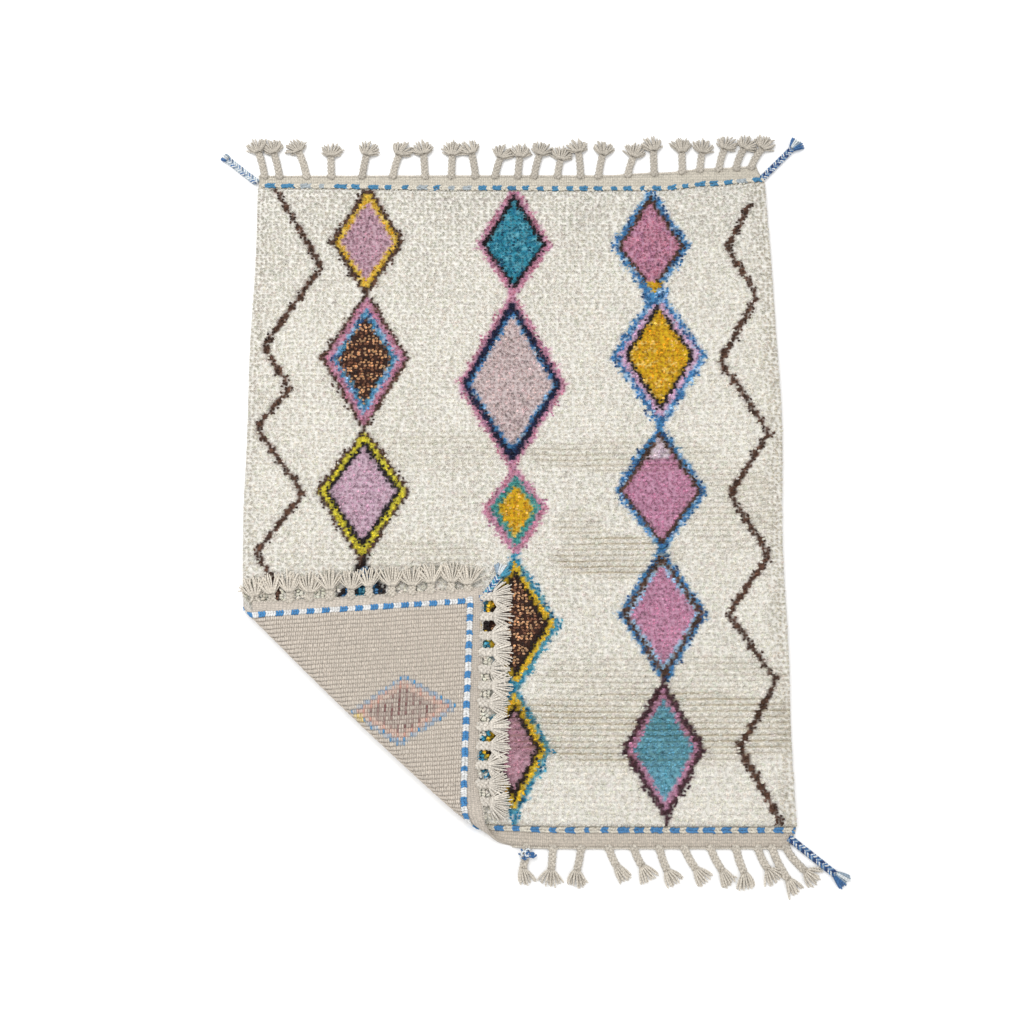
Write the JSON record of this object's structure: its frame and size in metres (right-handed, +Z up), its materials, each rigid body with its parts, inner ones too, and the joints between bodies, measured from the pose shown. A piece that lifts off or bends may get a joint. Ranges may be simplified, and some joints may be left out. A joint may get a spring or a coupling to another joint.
{
  "type": "azilal rug",
  "caption": "Knotted wool pile rug with diamonds, lying flat with one corner folded over its front, with plaited fringe and corner braids.",
  "frame": {"origin": "on the floor, under the middle of the woven rectangle", "axes": "+X to the rug's right side, +Y to its far end, +Z up out of the pile"},
  "size_m": [1.4137, 1.7427, 0.0472],
  "materials": {
    "wool_pile": "matte cut wool pile in ivory with coloured motifs",
    "fringe_yarn": "matte undyed greige wool yarn, plaited and flat woven",
    "corner_yarn": "matte blue and white wool yarn, plaited and twined"
  },
  "bodies": {
    "root": {"rug_body": "wool_pile", "fringe_far": "fringe_yarn", "fringe_near": "fringe_yarn", "fringe_flap_end": "fringe_yarn", "fringe_flap_side": "fringe_yarn", "corner_braid_far_left": "corner_yarn", "corner_braid_far_right": "corner_yarn", "corner_braid_near_right": "corner_yarn", "corner_tuft_fold": "corner_yarn", "corner_braid_flap_tip": "corner_yarn"}
  },
  "joints": []
}
